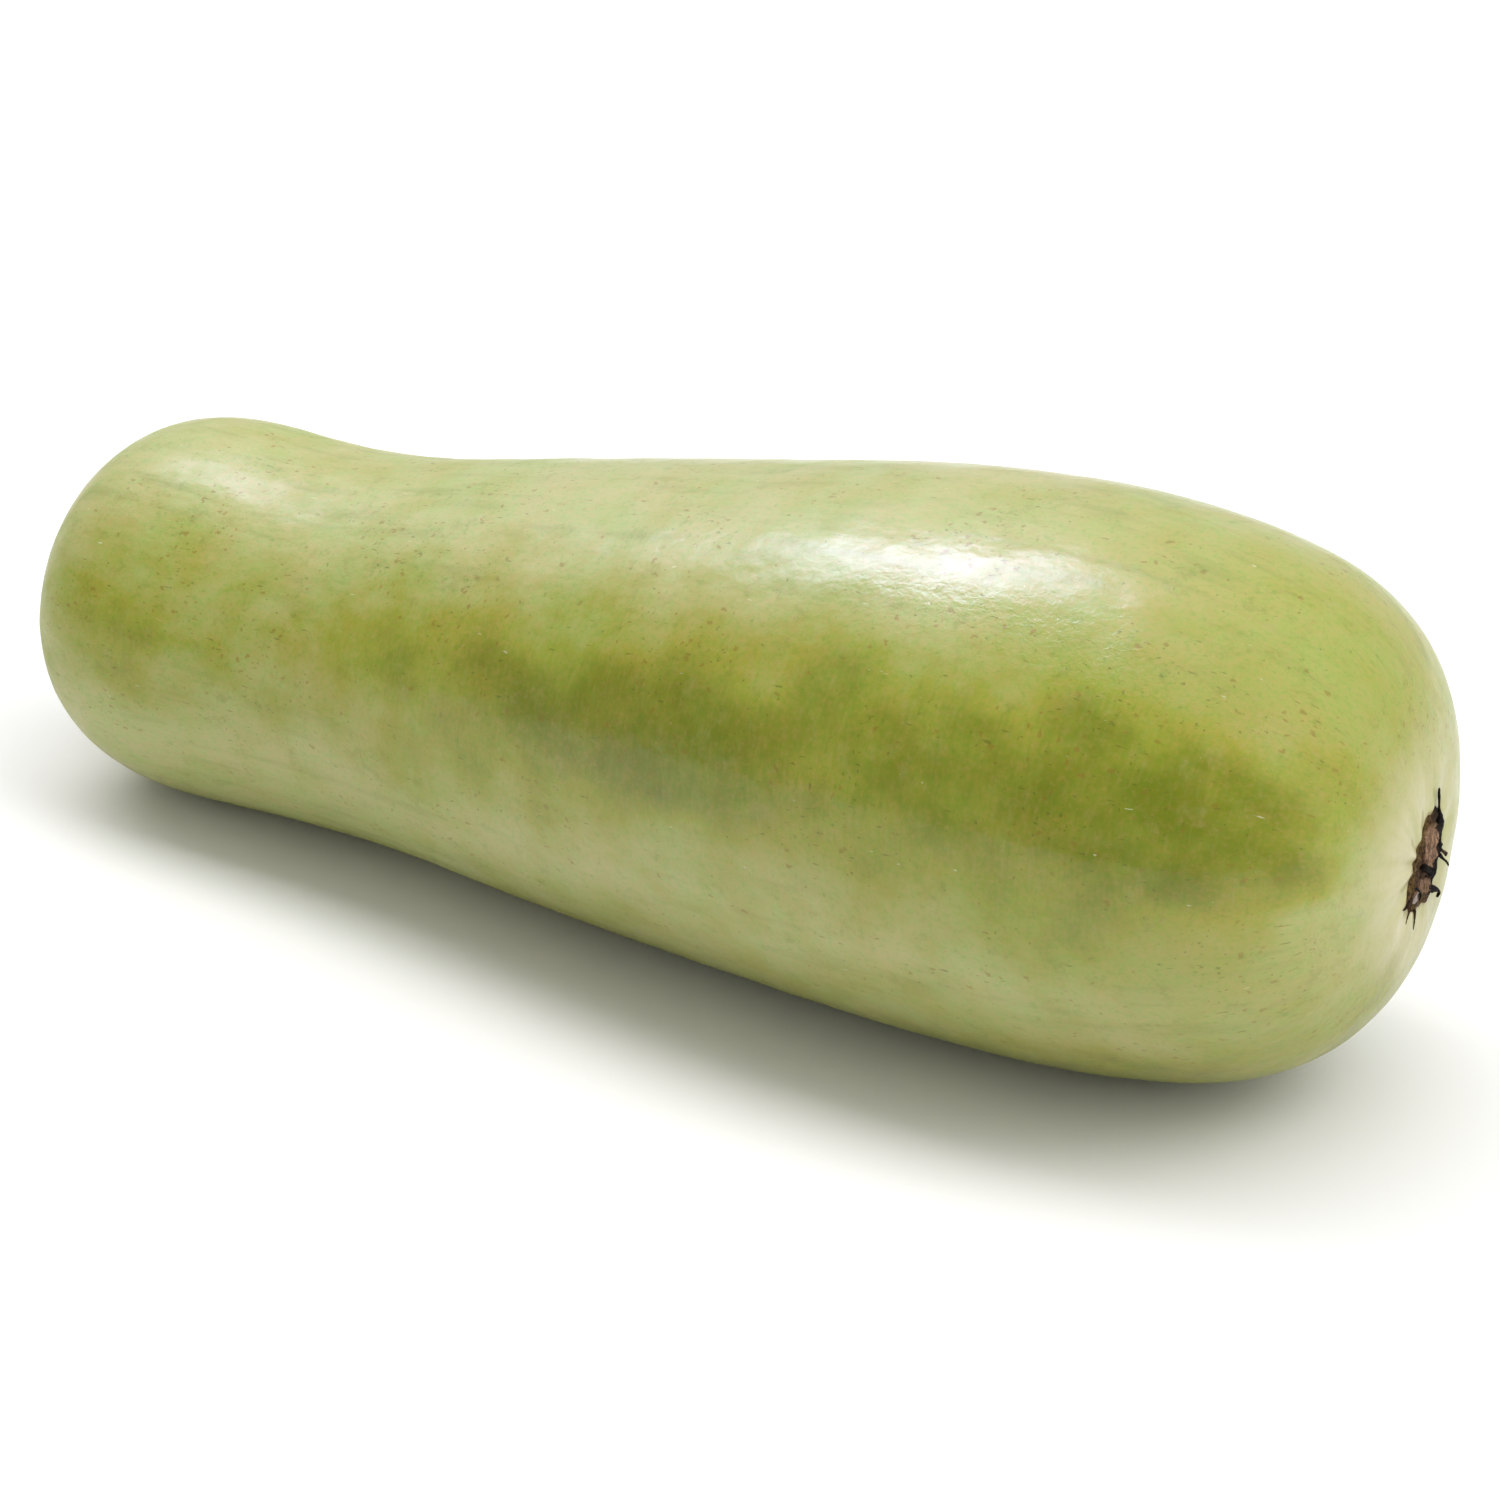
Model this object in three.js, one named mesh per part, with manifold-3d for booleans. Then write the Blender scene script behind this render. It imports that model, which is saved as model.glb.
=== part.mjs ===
// A bottle gourd lying on its side, as picked: the fruit, the cut stub of its stem and the dried scar
// that its flower left. Millimetres, +Z up. The core line runs along X from the stem end (-X) to the
// blossom end (+X), and the fruit rests on the plane z = 0 with its head and its belly.
import * as THREE from "three";
import { mergeVertices } from "three/addons/utils/BufferGeometryUtils.js";
import Module from "manifold-3d";

const wasm = await Module();
wasm.setup();

// ---- driving dimensions ----
const LENGTH = 300; // along the core line, from pole to pole

// These lists run from the stem end to the blossom end in equal steps along the core line.
const GIRTH_RADII = [42.5, 38, 38, 42.5, 47, 51, 54.5, 60, 71]; // before the two ends round off
const CORE_SWAYS = [4, 2, 1, -2.5, -5, -4, 0];
const CORE_HEIGHTS = [37.5, 38, 41.5, 47, 52.5, 54.5, 53.5];

// Each end rounds off over its own length, by a superellipse of its own power.
const STEM_END = { length: 45, power: 2.6, dimple: 2.5, dimpleRadius: 15 };
const BLOSSOM_END = { length: 108, power: 2.4, dimple: 1, dimpleRadius: 18 };

// The fruit grows from three carpels, which swell the section into three soft lobes.
const LOBES = 3;
const LOBE_AT_STEM = 0.01;
const LOBE_AT_BLOSSOM = 0.04;
const LOBE_TURN = 2.4;
const PUCKERS = 10; // faint folds that gather towards each pole
const PUCKER_DEPTH = 0.3;

const SETTLE = 0.3; // how far its weight and the ground flattened the side that it grew and lies on
const FRUIT_RINGS = 60;
const FRUIT_SEGMENTS = 42;
const GAP = 0.3; // clearance between touching pieces

const SCAR_RADIUS = 7.8;
const SCAR_STRETCH = 0.2; // the scar is an oval, this much longer and narrower than round
const SCAR_LEAN = Math.PI / 3; // of the oval's long way, from level
const SCAR_POINTS = 5; // one for each lobe of the fallen calyx
const SCAR_FLOOR = 0.6; // thickness of the corky floor
const SCAR_RIM = 0.8; // how far the rim stands above the floor
const SCAR_SEGMENTS = 40;

const STUB_LENGTH = 8.5;
const STUB_RADIUS = 5;
const STUB_ANGLES = 5; // a gourd's stem is five-angled
const STUB_SEGMENTS = 30;

// ---- curves shared by the pieces ----

// The value at a share (0 to 1) of a list of equally spaced values, by Catmull-Rom.
function through(values, share) {
  const last = values.length - 1;
  const at = (i) => {
    if (i < 0) return 2 * values[0] - values[1];
    if (i > last) return 2 * values[last] - values[last - 1];
    return values[i];
  };
  const place = THREE.MathUtils.clamp(share, 0, 1) * last;
  const i = Math.min(Math.floor(place), last - 1);
  const t = place - i;
  const [a, b, c, d] = [at(i - 1), at(i), at(i + 1), at(i + 2)];
  return b + 0.5 * t * (c - a + t * (2 * a - 5 * b + 4 * c - d + t * (3 * (b - c) + d - a)));
}

// A smooth bump of height 1 around a centre.
function bump(value, centre, width) {
  return Math.exp(-Math.pow((value - centre) / width, 2));
}

// How far an end has opened, 0 at its pole and 1 past its length.
function opening(fromPole, end) {
  const left = 1 - Math.min(fromPole / end.length, 1);
  return Math.pow(1 - Math.pow(left, end.power), 1 / end.power);
}

function meanRadius(along) {
  const girth = through(GIRTH_RADII, along / LENGTH);
  return girth * opening(along, STEM_END) * opening(LENGTH - along, BLOSSOM_END);
}

function corePoint(along) {
  const share = along / LENGTH;
  const x = along - LENGTH / 2;
  return new THREE.Vector3(x, through(CORE_SWAYS, share), through(CORE_HEIGHTS, share));
}

// The core line's direction, with a level side axis and an upward one across it.
function coreAxes(along) {
  const step = LENGTH / 1000;
  const middle = THREE.MathUtils.clamp(along, step, LENGTH - step);
  const ahead = corePoint(middle + step).sub(corePoint(middle - step)).normalize();
  const side = new THREE.Vector3(0, 0, 1).cross(ahead).normalize();
  const up = ahead.clone().cross(side);
  return { ahead, side, up };
}

// How far the skin stands out at an end beyond the plain rounded form: the puckers less the dimple.
function endRelief(radius, angle, end) {
  const dimple = end.dimple * (1 - THREE.MathUtils.smoothstep(radius, 0, end.dimpleRadius));
  const gather = Math.pow(1 - Math.min(radius / GIRTH_RADII[1], 1), 2) * Math.min(radius / STUB_RADIUS, 1);
  return PUCKER_DEPTH * gather * Math.cos(PUCKERS * angle) - dimple;
}

// A point of the fruit's skin, before the ground flattens it.
function skinPoint(along, angle, mean = meanRadius(along)) {
  const share = along / LENGTH;
  const lobe = THREE.MathUtils.lerp(LOBE_AT_STEM, LOBE_AT_BLOSSOM, share);
  const radius = mean * (1 + lobe * Math.cos(LOBES * angle - LOBE_TURN));
  const relief = share < 0.5 ? -endRelief(mean, angle, STEM_END) : endRelief(mean, angle, BLOSSOM_END);
  const { ahead, side, up } = coreAxes(along);
  return corePoint(along)
    .addScaledVector(side, radius * Math.cos(angle))
    .addScaledVector(up, radius * Math.sin(angle))
    .addScaledVector(ahead, relief);
}

// Moves every vertex of a geometry by a function of its place.
function reshape(geometry, move) {
  const places = geometry.getAttribute("position");
  const point = new THREE.Vector3();
  for (let i = 0; i < places.count; i += 1) {
    const { x, y, z } = move(point.fromBufferAttribute(places, i));
    places.setXYZ(i, x, y, z);
  }
  return geometry;
}

// A turned profile of [radius, height] pairs.
function turn(profile, segments) {
  const points = profile.map(([radius, height]) => new THREE.Vector2(radius, height));
  return new THREE.LatheGeometry(points, segments);
}

// ---- fruit ----

// Stations along the core line that are evenly spaced over the skin.
function evenStations(count) {
  const fine = 4000;
  const walked = [0];
  for (let i = 1; i <= fine; i += 1) {
    const step = LENGTH / fine;
    const rise = meanRadius(i * step) - meanRadius((i - 1) * step);
    walked.push(walked[i - 1] + Math.hypot(step, rise));
  }
  const stations = [0];
  for (let ring = 1; ring < count; ring += 1) {
    const wanted = (walked[fine] * ring) / count;
    stations.push((LENGTH * walked.findIndex((distance) => distance >= wanted)) / fine);
  }
  stations.push(LENGTH);
  return stations;
}

function fruitGeometry() {
  const profile = evenStations(FRUIT_RINGS).map((along) => [meanRadius(along), along]);
  return reshape(turn(profile, FRUIT_SEGMENTS), (p) => {
    const skin = skinPoint(p.y, Math.atan2(p.x, p.z));
    skin.z = Math.max(skin.z - SETTLE, 0);
    return skin;
  });
}

// ---- places over the skin near a pole ----

// The station where the fruit reaches a radius, searched from a pole.
function stationAtRadius(radius, atBlossom) {
  let near = 0;
  let far = LENGTH / 6;
  for (let i = 0; i < 40; i += 1) {
    const middle = (near + far) / 2;
    const reached = meanRadius(atBlossom ? LENGTH - middle : middle);
    if (reached < radius) near = middle;
    else far = middle;
  }
  return atBlossom ? LENGTH - far : far;
}

// A point at a distance and an angle across a pole's axis, and a height over the skin along it.
function overPole(radius, angle, height, atBlossom) {
  const outward = coreAxes(atBlossom ? LENGTH : 0).ahead.multiplyScalar(atBlossom ? 1 : -1);
  const skin = skinPoint(stationAtRadius(radius, atBlossom), angle, radius);
  skin.z -= SETTLE;
  return skin.addScaledVector(outward, height);
}

// ---- blossom scar ----

function scarEdge(angle) {
  const oval = SCAR_STRETCH * Math.cos(2 * (angle - SCAR_LEAN));
  const points = 0.08 * Math.cos(SCAR_POINTS * (angle - SCAR_LEAN));
  const ragged = 0.04 * Math.sin(9 * angle + 1) + 0.03 * Math.sin(14 * angle);
  return SCAR_RADIUS * (1 + oval + points + ragged);
}

// The height of the scar over the skin, at a share of the way from its middle to its edge.
function scarHeight(share, angle) {
  const rim = SCAR_RIM * bump(share, 0.8, 0.12) * (0.8 + 0.2 * Math.sin(7 * angle));
  const ribs = 0.12 * share * Math.sin(12 * angle);
  const thinning = 1 - 0.4 * THREE.MathUtils.smoothstep(share, 0.85, 1);
  return GAP + (SCAR_FLOOR + rim + ribs) * thinning;
}

function scarDisc() {
  const shares = [0.3, 0.55, 0.7, 0.82, 0.92];
  const under = [0, ...shares, 1].map((share) => [share, 0]);
  const over = [0, ...shares, 1].map((share) => [share, 1]).reverse();
  return reshape(turn([...under, ...over], SCAR_SEGMENTS), (p) => {
    const angle = Math.atan2(p.x, p.z);
    const share = Math.hypot(p.x, p.z);
    const height = p.y > 0 ? scarHeight(share, angle) : GAP;
    return overPole(share * scarEdge(angle), angle, height, true);
  });
}

// Dried threads of the flower. Each leads from one place across the pole's axis to another, rises by
// lift on the way, curls sideways and thins from its root to its tip.
const THREADS = [
  { from: [2.6, 6.6], to: [5, 13], lift: 0, curl: 0.3, thickness: 1.1 },
  { from: [5.6, -0.2], to: [10.6, -3.4], lift: 2, curl: 0.5, thickness: 1.2 },
  { from: [3.4, -4.8], to: [8, -9.2], lift: 1.2, curl: -0.9, thickness: 1.2 },
  { from: [-1.4, -7.6], to: [-2.8, -12], lift: -0.1, curl: 0.4, thickness: 1.1 },
  { from: [-6.6, -4.2], to: [-9.6, -7.4], lift: 0.2, curl: 0.3, thickness: 1.1 },
  { from: [-2.6, 0.6], to: [3, -3.2], lift: 0.2, curl: 0.3, thickness: 1.8 },
];
const THREAD_THINNING = 0.35;

function flowerThread({ from, to, lift, curl, thickness }) {
  const start = new THREE.Vector2(...from);
  const reach = new THREE.Vector2(...to).sub(start);
  const across = new THREE.Vector2(-reach.y, reach.x).normalize();
  const rod = new THREE.CylinderGeometry(thickness / 2, thickness / 2, 1, 6, 6);
  return reshape(rod, (p) => {
    const share = p.y + 0.5;
    const thinned = 1 - THREAD_THINNING * share;
    const sideways = p.x * thinned + curl * Math.sin(Math.PI * share);
    const place = start.clone().addScaledVector(reach, share).addScaledVector(across, sideways);
    const height = GAP + thickness / 2 + 0.1 + lift * share * share;
    return overPole(place.length(), Math.atan2(place.y, place.x), height - p.z * thinned, true);
  });
}

// ---- stem stub ----

function stubGeometry() {
  const under = [0, 0.4, 0.75, 1].map((share) => [share, 0]);
  const wall = [0.15, 0.35, 0.65, 0.96].map((rise) => [1, rise]);
  const cut = [0.88, 0.5, 0].map((share) => [share, 1]);
  return reshape(turn([...under, ...wall, ...cut], STUB_SEGMENTS), (p) => {
    const angle = Math.atan2(p.z, p.x);
    const share = Math.hypot(p.x, p.z);
    const flare = 1 + 0.3 * Math.pow(1 - p.y, 3);
    const ridge = 1 + 0.07 * Math.cos(STUB_ANGLES * angle);
    const pith = p.y === 1 ? 0.5 * (1 - share) : 0;
    return overPole(share * STUB_RADIUS * flare * ridge, angle, GAP + STUB_LENGTH * p.y - pith, false);
  });
}

// ---- solids and assembly ----

function toSolid(geometry) {
  geometry.deleteAttribute("normal");
  geometry.deleteAttribute("uv");
  const merged = mergeVertices(geometry, 1e-4);
  const vertProperties = new Float32Array(merged.attributes.position.array);
  const triVerts = new Uint32Array(merged.index.array);
  return new wasm.Manifold(new wasm.Mesh({ numProp: 3, vertProperties, triVerts }));
}

function toGeometry(solid) {
  const mesh = solid.getMesh();
  const geometry = new THREE.BufferGeometry();
  geometry.setAttribute("position", new THREE.BufferAttribute(mesh.vertProperties, 3));
  geometry.setIndex(new THREE.BufferAttribute(mesh.triVerts, 1));
  geometry.computeVertexNormals();
  return geometry;
}

function scarGeometry() {
  const threads = THREADS.map((thread) => toSolid(flowerThread(thread)));
  return toGeometry(threads.reduce((whole, thread) => whole.add(thread), toSolid(scarDisc())));
}

const skin = new THREE.MeshStandardMaterial({ color: 0xb4c478, roughness: 0.3, metalness: 0 });
const cork = new THREE.MeshStandardMaterial({ color: 0x5b4232, roughness: 0.9, metalness: 0 });
const stalk = new THREE.MeshStandardMaterial({ color: 0x9a9a62, roughness: 0.75, metalness: 0 });

function named(name, geometry, material) {
  const mesh = new THREE.Mesh(geometry, material);
  mesh.name = name;
  return mesh;
}

const gourd = new THREE.Group();
gourd.add(named("gourd_fruit", fruitGeometry(), skin));
gourd.add(named("blossom_scar", scarGeometry(), cork));
gourd.add(named("stem_stub", stubGeometry(), stalk));

// The origin is on the ground, under the middle of the gourd's box.
const box = new THREE.Box3().setFromObject(gourd);
const middle = box.getCenter(new THREE.Vector3());
gourd.position.set(-middle.x, -middle.y, -box.min.z);

export default gourd;
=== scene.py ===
# %% [markdown]
# # A bottle gourd lying on its side
# This lesson dresses three plain solids as a real bottle gourd: the fruit, the dried scar that its flower
# left and the cut stub of its stem. Each piece is grown again with a finer surface, from the same few
# dimensions as its solid, and then painted with procedural materials.

import bisect
import functools
import math

import bmesh
import bpy
from mathutils import Matrix, Vector, noise


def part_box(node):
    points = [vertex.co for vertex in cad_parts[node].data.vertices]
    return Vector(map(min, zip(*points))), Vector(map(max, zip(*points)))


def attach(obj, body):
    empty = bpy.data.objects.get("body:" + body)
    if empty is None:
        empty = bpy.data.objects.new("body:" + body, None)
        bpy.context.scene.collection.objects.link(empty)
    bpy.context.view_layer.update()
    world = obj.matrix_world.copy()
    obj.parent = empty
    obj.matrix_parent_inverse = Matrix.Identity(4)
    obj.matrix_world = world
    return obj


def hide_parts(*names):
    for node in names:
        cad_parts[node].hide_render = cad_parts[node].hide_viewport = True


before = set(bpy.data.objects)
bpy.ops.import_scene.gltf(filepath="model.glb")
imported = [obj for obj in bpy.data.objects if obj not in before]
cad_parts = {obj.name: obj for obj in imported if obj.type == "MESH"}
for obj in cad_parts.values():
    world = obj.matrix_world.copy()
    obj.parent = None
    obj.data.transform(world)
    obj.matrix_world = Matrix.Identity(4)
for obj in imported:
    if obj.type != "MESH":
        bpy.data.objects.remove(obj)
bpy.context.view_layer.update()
print("solids:", sorted(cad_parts))

# %% [markdown]
# ## The form of the fruit
# A gourd swells round a core line that runs from its stem to its blossom end. A list of girths along that
# line, two rounded ends and a faint three-lobed section, from the three carpels that the fruit grows from,
# are enough for its whole form. The dimensions are in millimetres, and MM turns them into metres.

# %% Dimensions of the fruit
MM = 0.001
LENGTH = 300
GIRTH_RADII = [42.5, 38, 38, 42.5, 47, 51, 54.5, 60, 71]
CORE_SWAYS = [4, 2, 1, -2.5, -5, -4, 0]
CORE_HEIGHTS = [37.5, 38, 41.5, 47, 52.5, 54.5, 53.5]
STEM_END = {"length": 45, "power": 2.6, "dimple": 2.5, "dimple_radius": 15}
BLOSSOM_END = {"length": 108, "power": 2.4, "dimple": 1, "dimple_radius": 18}
LOBES = 3
LOBE_AT_STEM = 0.01
LOBE_AT_BLOSSOM = 0.04
LOBE_TURN = 2.4
PUCKERS = 10
PUCKER_DEPTH = 0.3
PUCKERS_START = 5


def clamp(value, low, high):
    return max(low, min(high, value))


def smooth(value, low, high):
    """0 below low, 1 above high and a soft step between."""
    share = clamp((value - low) / (high - low), 0, 1)
    return share * share * (3 - 2 * share)


def bell(away, width):
    """1 at the middle, falling off softly on both sides."""
    return math.exp(-((away / width) ** 2))


def through(values, share):
    """The value at a share (0 to 1) of a list of equally spaced values, by Catmull-Rom."""
    last = len(values) - 1
    ends = [2 * values[0] - values[1], *values, 2 * values[last] - values[last - 1]]
    place = clamp(share, 0, 1) * last
    i = min(int(place), last - 1)
    t = place - i
    a, b, c, d = ends[i : i + 4]
    return b + 0.5 * t * (c - a + t * (2 * a - 5 * b + 4 * c - d + t * (3 * (b - c) + d - a)))


def opening(from_pole, end):
    """How far an end has opened: 0 at its pole and 1 past its length."""
    left = 1 - min(from_pole / end["length"], 1)
    return (1 - left ** end["power"]) ** (1 / end["power"])


@functools.lru_cache(maxsize=None)
def mean_radius(along):
    girth = through(GIRTH_RADII, along / LENGTH)
    return girth * opening(along, STEM_END) * opening(LENGTH - along, BLOSSOM_END)


def core_point(along):
    share = along / LENGTH
    return Vector((along - LENGTH / 2, through(CORE_SWAYS, share), through(CORE_HEIGHTS, share)))


@functools.lru_cache(maxsize=None)
def core_axes(along):
    """The core line's direction, a level axis to its side and an upward one across it."""
    step = LENGTH / 1000
    middle = clamp(along, step, LENGTH - step)
    ahead = (core_point(middle + step) - core_point(middle - step)).normalized()
    side = Vector((0, 0, 1)).cross(ahead).normalized()
    return ahead, side, ahead.cross(side)


def end_relief(radius, angle, end):
    """How far the skin stands out at an end: the puckers less the dimple."""
    dimple = end["dimple"] * (1 - smooth(radius, 0, end["dimple_radius"]))
    gather = (1 - min(radius / GIRTH_RADII[1], 1)) ** 2 * min(radius / PUCKERS_START, 1)
    return PUCKER_DEPTH * gather * math.cos(PUCKERS * angle) - dimple


def skin_point(along, angle, mean=None, raised=0):
    """A point of the skin, raised over it by a height, before the ground flattens the fruit."""
    mean = mean_radius(along) if mean is None else mean
    lobe = LOBE_AT_STEM + (LOBE_AT_BLOSSOM - LOBE_AT_STEM) * along / LENGTH
    radius = mean * (1 + lobe * math.cos(LOBES * angle - LOBE_TURN)) + raised
    if along < LENGTH / 2:
        relief = -end_relief(mean, angle, STEM_END)
    else:
        relief = end_relief(mean, angle, BLOSSOM_END)
    ahead, side, up = core_axes(along)
    point = core_point(along) + side * radius * math.cos(angle) + up * radius * math.sin(angle)
    return point + ahead * relief


print("girth at the belly:", round(2 * max(mean_radius(a) for a in range(LENGTH))), "mm")

# %% [markdown]
# ## The outline of the blossom scar
# The flower fell off and left a dried scab of cork, long from upper right to lower left and pinched at the
# left. Its outline is needed now, because the skin is stained along it, and again when the scar is made.

# %% Outline of the scar
SCAR_REACH = [
    # mm from the pole, each 20 degrees from 0
    7.5, 8.6, 9.2, 10.0, 8.6, 6.6, 4.8, 4.2, 4.0, 4.5, 5.9, 9.3, 9.1, 8.8, 8.4, 8.6, 7.0, 7.9,
]


def scar_edge(angle):
    """The distance from the pole to the scar's ragged edge, in mm."""
    ragged = 1 + 0.025 * math.sin(9 * angle + 1) + 0.02 * math.sin(23 * angle)
    return through(SCAR_REACH + SCAR_REACH[:1], angle % math.tau / math.tau) * ragged


print("scar:", max(SCAR_REACH), "mm from its middle to its farthest edge")

# %% [markdown]
# ## Where the skin is green, yellow, pale or stained
# A gourd is not one green. The side that lay on the soil stays pale, the flanks are greener in soft clouds,
# ripe patches turn yellow and the blossom end is cream. Some of the green low on the near side, next to the
# ground, and one small green cloud just below the highlight are painted shade. These are large shapes that
# follow the fruit, so they are worked out for each vertex and kept as attributes. The fine mottling inside
# them is left to the material's noise.

# %% Clouds of colour
GREEN_AND_SHADE_ROUND_THE_GIRTH = [
    # each 20 degrees from 0
    # the rise of green towards 240 degrees, low on the near side by the ground, is partly painted shade of
    # the ground contact
    0.5, 0.45, 0.35, 0.2, 0.1, 0.04, 0.1, 0.42, 0.84, 0.46, 0.12, 0.3, 0.55, 0.6, 0.55, 0.7, 0.6, 0.55,
]
GREEN_AND_SHADE_CLOUDS = [
    # station and angle of the middle, half-length in mm, half-width in degrees, strength
    (172, 162, 22, 12, 0.15),
    (217, 143, 12, 6, 0.12),
    (256, 140, 13, 8, 0.3),
    # painted shade: darkens a spot just below the highlight, where the reflection spread too far
    (251, 121, 10, 7, 0.2),
    (226, 157, 14, 5, 0.12),
    (270, 164, 20, 9, 0.3),
    (208, 160, 8, 5, -0.25),
    (240, 162, 8, 4, -0.15),
    (296, 172, 9, 13, -0.75),
    (285, 157, 9, 9, 0.32),
    (262, 170, 14, 6, 0.1),
    (267, 134, 8, 8, 0.24),
    (292, 114, 12, 30, 0.2),
    (188, 184, 16, 6, -0.2),
    (259, 157, 11, 12, 0.3),
    (231, 146, 8, 5, 0.3),
    (234, 160, 8, 6, -0.2),
    (196, 150, 9, 6, -0.2),
    (157, 146, 12, 7, -0.15),
    (281, 142, 11, 9, 0.3),
    # partly the skin's own olive and partly painted shade, low on the near side where the ground's shadow
    # meets the skin
    (252, 228, 20, 8, 0.25),
    (34, 168, 12, 12, 0.4),
    (14, 186, 10, 8, 0.2),
    (240, 149, 12, 5, -0.1),
    (120, 20, 40, 18, 0.35),
    (215, 335, 36, 20, 0.35),
    (80, 300, 30, 22, 0.3),
    (160, 285, 38, 16, -0.35),
    (60, 215, 30, 20, -0.3),
    (255, 20, 24, 18, -0.3),
]
YELLOW_CLOUDS = [
    (272, 112, 26, 30, 0.9),
    (256, 128, 16, 8, 0.9),
    (280, 80, 20, 16, 0.8),
    (246, 92, 18, 12, 0.35),
    (43, 132, 16, 12, 0.35),
    (196, 176, 12, 6, 0.45),
    (210, 160, 8, 5, 0.5),
    (268, 186, 24, 12, 0.5),
    (284, 205, 18, 22, 0.55),
    (262, 232, 16, 10, 0.5),
    (140, 330, 30, 24, 0.6),
    (90, 40, 26, 18, 0.5),
]
WRINKLED_CLOUDS = [
    (254, 127, 18, 9, 0.6),
    (222, 124, 24, 8, 0.4),
    (70, 60, 40, 20, 0.6),
    (200, 250, 40, 24, 0.6),
    (130, 350, 30, 20, 0.5),
]
CLOUD_SOFTNESS = 0.8
print("clouds:", len(GREEN_AND_SHADE_CLOUDS), "green and", len(YELLOW_CLOUDS), "yellow")

# %% [markdown]
# ## Reading the clouds at a place
# Each cloud is a soft bump of strength round its middle. Left alone, such bumps would be smooth ovals, so
# their edges are made to wander: the place that is looked up is shifted a little by slow noise. The green
# also fades towards the cream tip, and the underside keeps a hint of cream.

# %% Green, yellow and cream at a place
NECK_GREEN = 0.4
RIPENING = (50, 160)
PALE_TIP = {"stations": (286, 297), "angle": 162, "half_width": 22, "strength": 0.7}
CREAM_RADII = (10.5, 30)
UNDERSIDE = {"angle": 210, "half_width": 30, "cream": 0.12}


def turn_between(first, second):
    """The smaller way round from one angle to another, in degrees."""
    return abs((first - second + 180) % 360 - 180)


def wander(place, size, reach, offset=(0, 0, 0)):
    """A slow random shift of up to about the reach. The size is that of its waves, in mm."""
    return reach * noise.noise(place / size + Vector(offset))


def cloud_sum(clouds, along, angle):
    total = 0
    for middle, turn, half_length, half_width, strength in clouds:
        away = math.hypot((along - middle) / half_length, turn_between(angle, turn) / half_width)
        total += strength * math.exp(-away * away * CLOUD_SOFTNESS)
    return total


def green_and_shade_share(along, angle, place):
    """How green the skin is, 0 to 1, with painted shade low on the near side and below the highlight."""
    degrees = (math.degrees(angle) + wander(place, 16, 10)) % 360
    station = along + wander(place, 16, 14, (0, 0, 9))
    round_girth = GREEN_AND_SHADE_ROUND_THE_GIRTH + GREEN_AND_SHADE_ROUND_THE_GIRTH[:1]
    ripe = NECK_GREEN + (1 - NECK_GREEN) * smooth(along, *RIPENING)
    share = ripe * through(round_girth, degrees / 360) + cloud_sum(GREEN_AND_SHADE_CLOUDS, station, degrees)
    pale = PALE_TIP["strength"] * smooth(along, *PALE_TIP["stations"])
    pale *= bell(turn_between(math.degrees(angle), PALE_TIP["angle"]), PALE_TIP["half_width"])
    return clamp(share * (1 - pale), 0, 1)


def yellow_share(along, angle, place):
    shift = wander(place, 12, 10, (3, 0, 0))
    return clamp(cloud_sum(YELLOW_CLOUDS, along + shift, math.degrees(angle) + shift), 0, 1)


def cream_share(along, angle, mean):
    """The cream of the blossom end, stronger on its far side, and the hint of it underneath."""
    turn = turn_between(math.degrees(angle), UNDERSIDE["angle"])
    under = UNDERSIDE["cream"] * bell(turn, UNDERSIDE["half_width"])
    at_end = (1 - smooth(mean, *CREAM_RADII)) * clamp(0.9 - 0.45 * math.cos(angle), 0, 1)
    return max(at_end if along > LENGTH / 2 else 0, under)


print("green at the near flank:", round(green_and_shade_share(240, math.radians(160), Vector((240, -47, 17))), 2))

# %% [markdown]
# ## Rings spaced evenly over the skin
# At a round end the skin runs mostly outwards and the core line hardly moves on. Rings at even steps of the
# core line would leave wide bands of skin there. So the distance is walked over the skin, station by
# station, and looked up the other way round.

# %% Stations by the distance over the skin


def walked_stations(count=3000):
    """Stations along the core line, and the distance walked over the skin to each of them."""
    stations = [LENGTH * i / count for i in range(count + 1)]
    walked = [0]
    for near, far in zip(stations, stations[1:]):
        walked.append(walked[-1] + math.hypot(far - near, mean_radius(far) - mean_radius(near)))
    return stations, walked


STATIONS, WALKED = walked_stations()


def station_at(share):
    """The station at a share of the way over the skin, from the stem pole to the blossom pole."""
    wanted = clamp(share, 0, 1) * WALKED[-1]
    i = clamp(bisect.bisect_left(WALKED, wanted), 1, len(WALKED) - 1)
    t = (wanted - WALKED[i - 1]) / (WALKED[i] - WALKED[i - 1])
    return STATIONS[i - 1] + t * (STATIONS[i] - STATIONS[i - 1])


print("over the skin from pole to pole:", round(WALKED[-1]), "mm")

# %% [markdown]
# ## Growing the skin
# A UV sphere already has what the skin needs: rings between two poles. Its rings become the girths of the
# gourd, spaced evenly over the skin, and every vertex moves to its place on the form. Low, wide waves of
# noise are added as real relief, because a fruit is never turned as true as a vase. Each vertex also keeps
# its place on a straight cylinder, the skin unrolled, so that patterns can follow the bent fruit.

# %% Grow the fruit
FRUIT_SEGMENTS = 200
FRUIT_RINGS = 230
UNROLLED_RADIUS = 50
CLOSING_RADIUS = 34
SKIN_WAVES = [
    # height in mm, size in mm, offset of the noise: undulations, dents and fine unevenness
    (0.3, 34, (0, 0, 0)),
    (0.12, 11, (7, 0, 0)),
    (0.045, 4.5, (0, 5, 0)),
]
SMOOTH_POLE = 15
GLOSS_STATIONS = (60, 180)


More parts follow.
